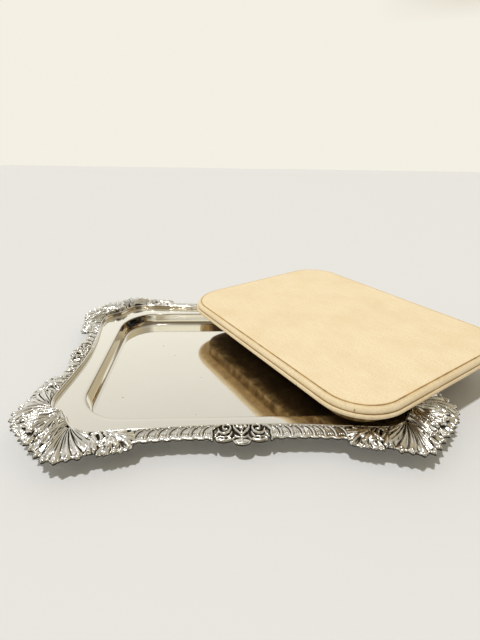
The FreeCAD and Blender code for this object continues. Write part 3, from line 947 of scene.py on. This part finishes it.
class Shading:
    """The nodes of a material or a world, with short ways to add one."""

    def __init__(self, tree):
        self.nodes = tree.nodes
        self.links = tree.links

    def fill(self, node, inputs):
        """Sets each of a node's inputs to a value, or links it from another node's output."""
        for name, value in inputs.items():
            if isinstance(value, bpy.types.NodeSocket):
                self.links.new(value, node.inputs[name])
            else:
                node.inputs[name].default_value = value
        return node

    def add(self, kind, inputs):
        return self.fill(self.nodes.new("ShaderNode" + kind), inputs)

    def place(self, output="Object"):
        return self.add("TexCoord", {}).outputs[output]

    def attribute(self, name, output="Fac"):
        node = self.add("Attribute", {})
        node.attribute_name = name
        return node.outputs[output]

    def noise(self, vector, scale, detail, roughness):
        inputs = {"Vector": vector, "Scale": scale, "Detail": detail, "Roughness": roughness}
        return self.add("TexNoise", inputs).outputs["Fac"]

    def ramp(self, value, *stops):
        """Colours at the given positions, each stop a (position, colour)."""
        node = self.add("ValToRGB", {"Fac": value})
        elements = node.color_ramp.elements
        while len(elements) < len(stops):
            elements.new(0.5)
        for element, (position, colour) in zip(elements, stops):
            element.position = position
            element.color = opaque(colour)
        return node.outputs["Color"]

    def mix(self, share, first, second):
        """The first colour where share is 0 and the second where it is 1."""
        node = self.add("Mix", {})
        node.data_type = "RGBA"
        return self.fill(node, {0: share, 6: opaque(first), 7: opaque(second)}).outputs[2]

    def rise(self, value, low, high):
        """0 at low and 1 at high."""
        inputs = {"Value": value, "From Min": low, "From Max": high}
        return self.add("MapRange", inputs).outputs["Result"]

    def maths(self, operation, *values):
        node = self.add("Math", {})
        node.operation = operation
        return self.fill(node, dict(enumerate(values))).outputs[0]

    def bump(self, height, strength, distance, below=None):
        """A normal bent by height, on top of the one from another bump below it."""
        inputs = {"Height": height, "Strength": strength, "Distance": distance}
        if below:
            inputs["Normal"] = below
        return self.add("Bump", inputs).outputs["Normal"]


def new_material(name):
    """A material, its nodes and its shader."""
    material = bpy.data.materials.new(name)
    material.use_nodes = True
    return material, Shading(material.node_tree), material.node_tree.nodes["Principled BSDF"]


def polished_silver():
    """Bright plate with haze, a few spots, and stains in the folds, with painted dark reflection
    along the lip and the step wall.
    """
    material, look, shader = new_material("polished_silver")
    place = look.place()
    haze = look.noise(place, 14.0, 5.0, 0.6)
    spots = look.noise(place, 210.0, 1.0, 0.4)
    spot_mask = look.ramp(spots, (0.0, BLACK), (0.79, BLACK), (0.82, WHITE))
    # stains in the folds, plus painted dark reflection along the lip and the step wall
    stain_and_painted_reflection = look.rise(look.attribute("fold_stain_and_painted_reflection"), 0.1, 1.25)
    colour = look.mix(haze, (0.97, 0.955, 0.915), (0.93, 0.91, 0.86))
    colour = look.mix(spot_mask, colour, (0.34, 0.27, 0.18))
    colour = look.mix(stain_and_painted_reflection, colour, (0.16, 0.11, 0.055))
    roughness = look.ramp(haze, (0.3, grey(0.045)), (0.75, grey(0.11)))
    scratches = look.noise(place, 420.0, 2.0, 0.6)
    look.fill(shader, {"Metallic": 1.0, "Base Color": colour, "Roughness": roughness,
                       "Normal": look.bump(scratches, 0.012, 0.0004)})
    return material


def cast_silver():
    """Worn castings, bright on the crests and tarnished in the hollows."""
    material, look, shader = new_material("cast_silver")
    place = look.place()
    mottle = look.noise(place, 120.0, 4.0, 0.6)
    amount = look.maths("MULTIPLY_ADD", mottle, 0.5, look.attribute("tarnish"))
    mask = look.ramp(amount, (0.31, BLACK), (0.86, WHITE))
    colour = look.mix(mask, (0.88, 0.87, 0.845), (0.045, 0.038, 0.027))
    patchy = look.ramp(mottle, (0.36, grey(0.10)), (0.66, grey(0.27)))
    roughness = look.mix(mask, patchy, grey(0.5))
    grain = look.noise(place, 900.0, 2.0, 0.5)
    hammering = look.noise(place, 230.0, 3.0, 0.55)
    normal = look.bump(hammering, 0.3, 0.0016, look.bump(grain, 0.06, 0.0003))
    look.fill(shader, {"Metallic": 1.0, "Base Color": colour, "Roughness": roughness,
                       "Normal": normal})
    return material


def pale_wood():
    """Fine straight grain with cloudy patches, specks and marks, darker in the grooves, with painted
    shade under the flange and on the tenon.
    """
    material, look, shader = new_material("pale_wood")
    where = look.attribute("grain_place", "Vector")
    stretch = look.add("Mapping", {"Vector": where, "Scale": (1.0, 0.09, 1.0)})
    along_grain = stretch.outputs["Vector"]
    fine = look.noise(along_grain, 520.0, 4.0, 0.6)
    broad = look.noise(along_grain, 46.0, 3.0, 0.5)
    clouds = look.noise(where, 21.0, 5.0, 0.62)
    specks = look.noise(where, 620.0, 3.0, 0.75)
    marks = look.noise(where, 130.0, 2.0, 0.5)
    scuffs = look.noise(where, 95.0, 5.0, 0.7)
    groove_tone_and_painted_shade = look.attribute("groove_tone_and_painted_shade")
    # the tan darkens the grooves and bead edges and is painted shade under the flange; the brown is
    # painted shade on the tenon's side
    groove_and_shade_tan = look.ramp(scuffs, (0.36, (0.32, 0.19, 0.060)), (0.64, (0.66, 0.45, 0.19)))
    painted_shade_brown = look.ramp(scuffs, (0.35, (0.09, 0.050, 0.015)), (0.5, (0.22, 0.135, 0.045)),
                      (0.68, (0.52, 0.36, 0.16)))
    colour = look.mix(broad, (0.93, 0.81, 0.60), (0.88, 0.745, 0.52))
    for pattern, start, end, most, tint in (
            (fine, 0.35, 0.75, 0.5, (0.76, 0.60, 0.35)),
            (clouds, 0.42, 0.72, 0.75, (0.80, 0.65, 0.41)),
            (specks, 0.45, 0.72, 0.5, (0.60, 0.45, 0.25)),
            (marks, 0.755, 0.80, 0.8, (0.22, 0.13, 0.06)),
            (groove_tone_and_painted_shade, 0.1, 0.8, 1, groove_and_shade_tan)):
        mask = look.ramp(pattern, (start, BLACK), (end, grey(most)))
        colour = look.mix(mask, colour, tint)
    # darker grooves, then painted shade: brown on the tenon's side and near black on its bottom
    for start, end, shade in ((0.75, 1.0, (0.25, 0.15, 0.055)), (1.0, 1.5, painted_shade_brown),
                              (1.6, 2.0, (0.050, 0.026, 0.009))):
        colour = look.mix(look.rise(groove_tone_and_painted_shade, start, end), colour, shade)
    look.fill(shader, {"Roughness": 0.62, "Specular IOR Level": 0.35, "Base Color": colour,
                       "Normal": look.bump(fine, 0.25, 0.0003)})
    return material


def floor_material():
    material, look, shader = new_material("pale_floor")
    look.fill(shader, {"Base Color": opaque((0.73, 0.745, 0.77)), "Roughness": 0.85,
                       "Specular IOR Level": 0.2})
    return material


# ---------------- scene

def make_floor():
    half = 3.0
    corners = [(-half, -half, 0), (half, -half, 0), (half, half, 0), (-half, half, 0)]
    mesh = bpy.data.meshes.new("floor")
    mesh.from_pydata(corners, [], [(0, 1, 2, 3)])
    mesh.materials.append(floor_material())
    floor = bpy.data.objects.new("floor", mesh)
    bpy.context.scene.collection.objects.link(floor)


def make_world():
    """A plain studio in soft zones: a pale wall behind the tray and a warm dim room before it.

    x, y and z are the parts of the direction that is looked in."""
    world = bpy.data.worlds.new("studio")
    bpy.context.scene.world = world
    world.use_nodes = True
    look = Shading(world.node_tree)
    x, y, z = look.add("SeparateXYZ", {0: look.place("Generated")}).outputs
    dark_side = look.rise(x, 0.02, 0.30)
    lamp_side = look.rise(x, -0.28, -0.14)
    room = look.mix(lamp_side, (0.36, 0.275, 0.14), (0.84, 0.77, 0.57))
    room = look.mix(dark_side, room, (0.075, 0.052, 0.020))
    room = look.mix(look.rise(z, 0.15, 0.25), room, (0.16, 0.128, 0.080))
    ceiling = look.mix(lamp_side, (0.48, 0.43, 0.30), (0.93, 0.89, 0.72))
    ceiling = look.mix(dark_side, ceiling, (0.33, 0.29, 0.22))
    room = look.mix(look.rise(z, 0.42, 0.66), room, ceiling)
    wall = look.mix(look.rise(z, 0.45, 1.0), (0.90, 0.87, 0.775), (0.36, 0.34, 0.30))
    shaded = look.maths("MULTIPLY", look.rise(x, 0.30, 0.44), look.rise(z, 0.20, 0.31))
    wall = look.mix(shaded, wall, (0.50, 0.43, 0.285))
    colour = look.mix(look.rise(y, -0.75, 0.15), room, wall)
    look.fill(look.nodes["Background"], {"Color": colour, "Strength": 1.0})


def make_sun():
    """A broad lamp above the tray, a little to the left and in front."""
    sun = bpy.data.lights.new("key", "SUN")
    sun.energy = 1.87
    sun.angle = math.radians(3.5)
    sun.color = (1.0, 0.98, 0.95)
    key = bpy.data.objects.new("key", sun)
    bpy.context.scene.collection.objects.link(key)
    shines_along = Vector((0.19, 0.102, -1.0))
    key.rotation_mode = "QUATERNION"
    key.rotation_quaternion = shines_along.to_track_quat("-Z", "Y")


def make_camera():
    yaw = 0.0532                   # radians, to the right
    pitch = 0.4477                 # down
    roll = 0.0192
    data = bpy.data.cameras.new("camera")
    data.sensor_width = 36.0
    data.lens = 21.74
    data.clip_start = 0.01
    data.clip_end = 20.0
    camera = bpy.data.objects.new("camera", data)
    bpy.context.scene.collection.objects.link(camera)
    forward = Vector((math.sin(yaw) * math.cos(pitch), math.cos(yaw) * math.cos(pitch),
                      -math.sin(pitch)))
    right = Vector((math.cos(yaw), -math.sin(yaw), 0.0))
    up = right.cross(forward)
    right_rolled = math.cos(roll) * right + math.sin(roll) * up
    up_rolled = -math.sin(roll) * right + math.cos(roll) * up
    rotation = Matrix((right_rolled, up_rolled, -forward)).transposed()
    camera.rotation_mode = "QUATERNION"
    camera.rotation_quaternion = rotation.to_quaternion()
    camera.location = (-0.01717, -0.40034, 0.25346)
    bpy.context.scene.camera = camera


make_camera()
make_floor()
make_world()
make_sun()
bpy.context.scene.view_settings.view_transform = "Standard"

silver = polished_silver()
for piece, node in ((make_plate(), "tray_plate"), (make_moulding(), "inner_moulding")):
    piece.data.materials.append(silver)
    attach(piece, "tray")
    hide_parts(node)
castings_silver = cast_silver()
for piece in make_strips() + make_shells() + make_corners():
    piece.data.materials.append(castings_silver)
make_board().data.materials.append(pale_wood())
